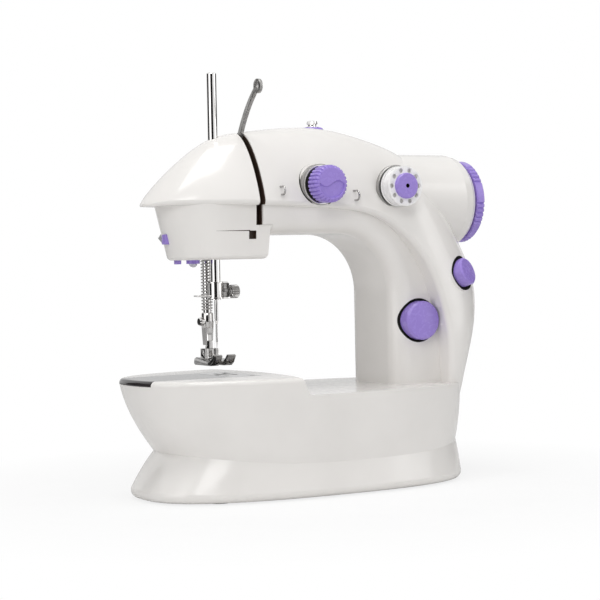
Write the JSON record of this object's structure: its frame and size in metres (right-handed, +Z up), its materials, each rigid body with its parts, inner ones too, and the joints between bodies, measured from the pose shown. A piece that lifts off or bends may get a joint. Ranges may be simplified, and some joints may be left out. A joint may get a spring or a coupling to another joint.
{
  "type": "mini sewing machine",
  "caption": "Small desktop lockstitch sewing machine with an oval bed, a domed free-standing arm, handwheel, needle bar, presser foot, tension dial, bobbin winder and push buttons",
  "frame": {"origin": "centre of the overall box on the table", "axes": "X along the arm from needle to handwheel, Y from front to back, Z up"},
  "size_m": [0.1992, 0.0976, 0.211],
  "materials": {
    "white_plastic": "glossy moulded plastic",
    "violet_plastic": "satin moulded plastic",
    "chrome": "bright plated",
    "steel": "ground",
    "smoke_plastic": "smoky moulded plastic",
    "black_rubber": "matt",
    "grey_plastic": "matt moulded plastic",
    "lamp_lens": "clear lens",
    "brass": "sintered"
  },
  "bodies": {
    "housing": {"front_shell": "white_plastic", "rear_shell": "white_plastic", "nose_cover": "white_plastic", "base_plate": "white_plastic", "rubber_feet": "black_rubber", "needle_plate": "steel", "screws": "steel", "feed_guide": "grey_plastic", "bed_bearings": "grey_plastic", "bobbin_case": "smoke_plastic", "motor": "steel", "motor_cradle": "grey_plastic", "timing_belt": "black_rubber", "drive_belt": "black_rubber", "shaft_pedestal": "grey_plastic", "bushes": "white_plastic", "presser_guide": "grey_plastic", "tension_discs": "chrome", "switches": "grey_plastic", "spool_base": "violet_plastic", "thread_guides": "chrome", "thread_cutter": "violet_plastic", "lamp_holder": "violet_plastic", "lamp_led": "lamp_lens", "jacks": "black_rubber"},
    "main_drive": {"main_shaft": "steel", "crank_disc": "steel", "handwheel": "violet_plastic", "timing_pulley_top": "grey_plastic"},
    "lower_drive": {"lower_shaft": "steel", "hook_gear": "grey_plastic", "drive_pulley": "grey_plastic", "timing_pulley_low": "grey_plastic"},
    "motor_rotor": {"motor_pulley": "brass"},
    "hook": {"rotary_hook": "steel"},
    "bobbin": {"hook_bobbin": "white_plastic"},
    "needle_group": {"needle_bar": "chrome", "needle_yoke": "steel", "needle_clamp": "chrome", "needle": "chrome"},
    "clamp_knob": {"clamp_screw": "chrome"},
    "take_up": {"take_up_lever": "chrome"},
    "feed_lifter": {"feed_bar": "steel"},
    "feed": {"feed_dog": "steel"},
    "presser": {"presser_bar": "chrome", "presser_spring": "steel", "foot_shank": "chrome", "foot_screw": "chrome"},
    "foot": {"presser_foot": "chrome"},
    "lifter": {"presser_lifter": "grey_plastic"},
    "dial": {"tension_dial": "violet_plastic"},
    "winder": {"winder_spindle": "violet_plastic", "winder_bobbin": "white_plastic"},
    "speed": {"speed_button": "violet_plastic"},
    "power": {"power_button": "violet_plastic"},
    "lamp_slider": {"lamp_switch": "violet_plastic"},
    "cover": {"bobbin_cover": "smoke_plastic"},
    "spool": {"spool_pin": "chrome"}
  },
  "joints": [
    {"name": "handwheel_turn", "type": "hinge", "parent": "housing", "child": "main_drive", "pos_m": [0.05, 0, 0.146], "axis": [1, 0, 0], "continuous": true},
    {"name": "lower_shaft_turn", "type": "hinge", "parent": "housing", "child": "lower_drive", "pos_m": [0, 0, 0.03], "axis": [1, 0, 0], "continuous": true},
    {"name": "motor_turn", "type": "hinge", "parent": "housing", "child": "motor_rotor", "pos_m": [0.036, 0.024, 0.025], "axis": [1, 0, 0], "continuous": true},
    {"name": "hook_turn", "type": "hinge", "parent": "housing", "child": "hook", "pos_m": [-0.064, 0, 0.05], "axis": [0, 0, 1], "continuous": true},
    {"name": "bobbin_spin", "type": "hinge", "parent": "housing", "child": "bobbin", "pos_m": [-0.064, 0, 0.05], "axis": [0, 0, 1], "continuous": true},
    {"name": "needle_slide", "type": "slide", "parent": "housing", "child": "needle_group", "axis": [0, 0, 1], "range_m": [-0.024, 0]},
    {"name": "clamp_screw_turn", "type": "hinge", "parent": "needle_group", "child": "clamp_knob", "pos_m": [-0.045, 0, 0.1014], "axis": [1, 0, 0], "range_deg": [0, 360]},
    {"name": "take_up_swing", "type": "hinge", "parent": "housing", "child": "take_up", "pos_m": [-0.0375, 0.003, 0.165], "axis": [1, 0, 0], "range_deg": [0, 40]},
    {"name": "feed_lift", "type": "slide", "parent": "housing", "child": "feed_lifter", "axis": [0, 0, 1], "range_m": [0, 0.0012]},
    {"name": "feed_advance", "type": "slide", "parent": "feed_lifter", "child": "feed", "axis": [0, 1, 0], "range_m": [-0.0015, 0.0015]},
    {"name": "lifter_turn", "type": "hinge", "parent": "housing", "child": "lifter", "pos_m": [-0.041, 0.02, 0.124], "axis": [0, -1, 0], "range_deg": [0, 26]},
    {"name": "presser_slide", "type": "slide", "parent": "housing", "child": "presser", "axis": [0, 0, 1], "range_m": [-0.0036, 0], "deforming": ["presser_spring"]},
    {"name": "foot_tilt", "type": "hinge", "parent": "presser", "child": "foot", "pos_m": [-0.051, 0.008, 0.071], "axis": [1, 0, 0], "range_deg": [-2.5, 2.5]},
    {"name": "tension_turn", "type": "hinge", "parent": "housing", "child": "dial", "pos_m": [-0.0045, -0.033, 0.154], "axis": [0, -1, 0], "range_deg": [-150, 150]},
    {"name": "winder_spin", "type": "hinge", "parent": "housing", "child": "winder", "pos_m": [0.0398, -0.03, 0.153], "axis": [0, -1, 0], "continuous": true},
    {"name": "speed_press", "type": "slide", "parent": "housing", "child": "speed", "axis": [0, 1, 0], "range_m": [0, 0.003], "stiffness_N_per_m": 300},
    {"name": "power_press", "type": "slide", "parent": "housing", "child": "power", "axis": [-0.4556, 0.8219, -0.342], "range_m": [0, 0.0025], "stiffness_N_per_m": 300},
    {"name": "lamp_switch_slide", "type": "slide", "parent": "housing", "child": "lamp_slider", "axis": [0, 1, 0], "range_m": [0, 0.002]},
    {"name": "bobbin_cover_slide", "type": "slide", "parent": "housing", "child": "cover", "axis": [-1, 0, 0], "range_m": [0, 0.06]},
    {"name": "spool_pin_pull", "type": "slide", "parent": "housing", "child": "spool", "axis": [0, 0, 1], "range_m": [0, 0.04]}
  ],
  "couplings": [
    {"joint": "lower_shaft_turn", "follows": "handwheel_turn", "ratio": 1},
    {"joint": "motor_turn", "follows": "handwheel_turn", "ratio": 2.8947},
    {"joint": "hook_turn", "follows": "handwheel_turn", "ratio": -2},
    {"joint": "take_up_swing", "follows": "needle_slide", "rad_per_m": -29.08},
    {"joint": "lifter_turn", "follows": "presser_slide", "rad_per_m": -126.04}
  ]
}
